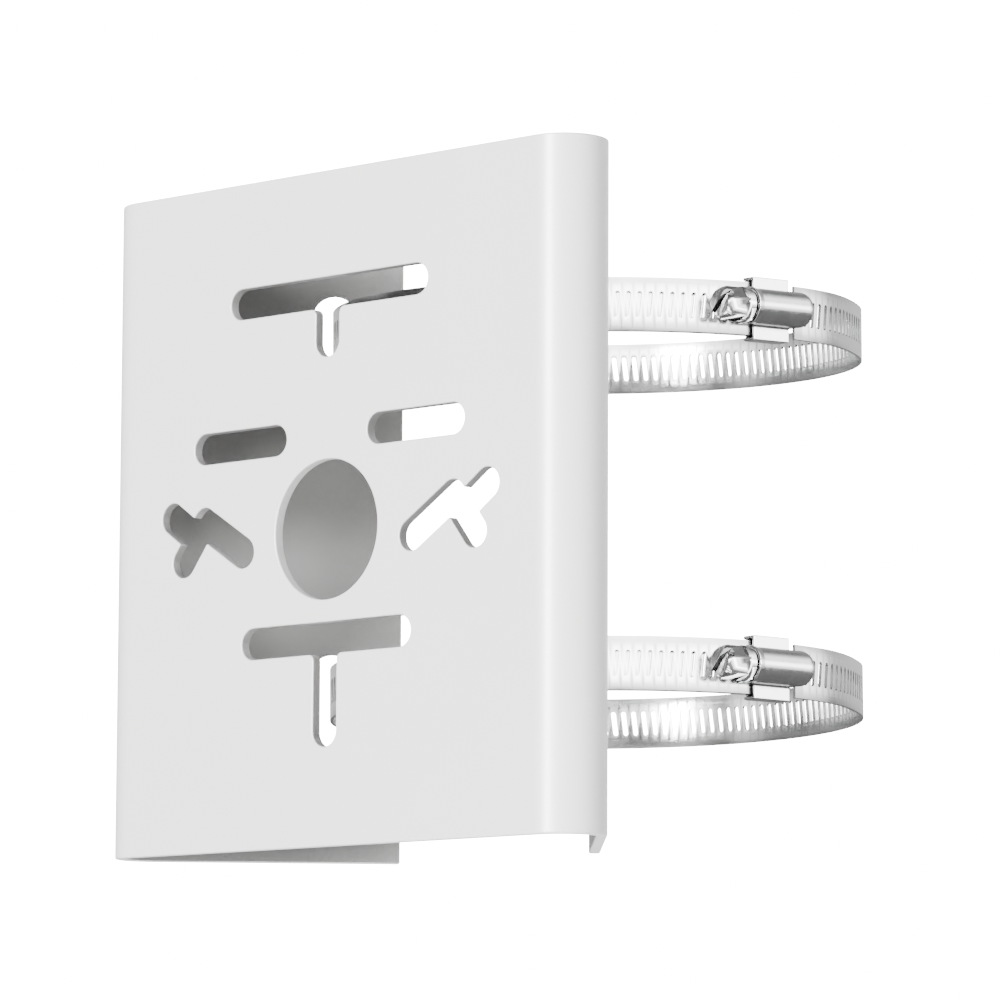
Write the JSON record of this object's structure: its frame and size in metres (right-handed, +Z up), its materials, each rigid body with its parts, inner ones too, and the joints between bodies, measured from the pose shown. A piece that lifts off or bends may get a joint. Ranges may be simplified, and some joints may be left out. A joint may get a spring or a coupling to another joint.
{
  "type": "pole mount bracket",
  "caption": "Bent sheet-metal pole bracket: slotted front plate, wings folded back to grip a pole, and perforated worm-drive band clamps through them.",
  "frame": {"origin": "middle of the front plate's bottom edge, half way through the sheet", "axes": "-Y out of the front plate, +Z up, +X to the right seen from the front"},
  "size_m": [0.15, 0.1599, 0.158],
  "materials": {
    "painted_sheet": "satin white powder coat",
    "clamp_band": "polished stainless strip",
    "clamp_housing": "polished stainless pressing",
    "clamp_screw": "bright machined steel"
  },
  "bodies": {
    "bracket": {"bracket_sheet": "painted_sheet"},
    "upper_clamp": {"upper_band": "clamp_band", "upper_housing": "clamp_housing"},
    "upper_tail_end": {"upper_tail": "clamp_band"},
    "upper_worm_screw": {"upper_screw": "clamp_screw"},
    "lower_clamp": {"lower_band": "clamp_band", "lower_housing": "clamp_housing"},
    "lower_tail_end": {"lower_tail": "clamp_band"},
    "lower_worm_screw": {"lower_screw": "clamp_screw"}
  },
  "joints": [
    {"name": "upper_clamp_turn", "type": "hinge", "parent": "bracket", "child": "upper_clamp", "pos_m": [0, 0.0935, 0.1295], "axis": [0.017, -0.031, 0.9994], "range_deg": [-12, 200]},
    {"name": "upper_screw_turn", "type": "hinge", "parent": "upper_clamp", "child": "upper_worm_screw", "pos_m": [0.06922, 0.08256, 0.12798], "axis": [0.1567, 0.9873, 0.0279], "range_deg": [0, 900]},
    {"name": "upper_tail_feed", "type": "hinge", "parent": "upper_clamp", "child": "upper_tail_end", "pos_m": [0, 0.0935, 0.1295], "axis": [0.017, -0.031, 0.9994], "range_deg": [-5.69, 0]},
    {"name": "lower_clamp_turn", "type": "hinge", "parent": "bracket", "child": "lower_clamp", "pos_m": [0, 0.0935, 0.0417], "axis": [-0.02, 0.01, 0.9998], "range_deg": [-12, 200]},
    {"name": "lower_screw_turn", "type": "hinge", "parent": "lower_clamp", "child": "lower_worm_screw", "pos_m": [0.06922, 0.08254, 0.04319], "axis": [0.1565, 0.9877, -0.0067], "range_deg": [0, 900]},
    {"name": "lower_tail_feed", "type": "hinge", "parent": "lower_clamp", "child": "lower_tail_end", "pos_m": [0, 0.0935, 0.0417], "axis": [-0.02, 0.01, 0.9998], "range_deg": [-5.69, 0]}
  ],
  "couplings": [
    {"joint": "upper_screw_turn", "follows": "upper_tail_feed", "ratio": -158},
    {"joint": "lower_screw_turn", "follows": "lower_tail_feed", "ratio": -158}
  ]
}
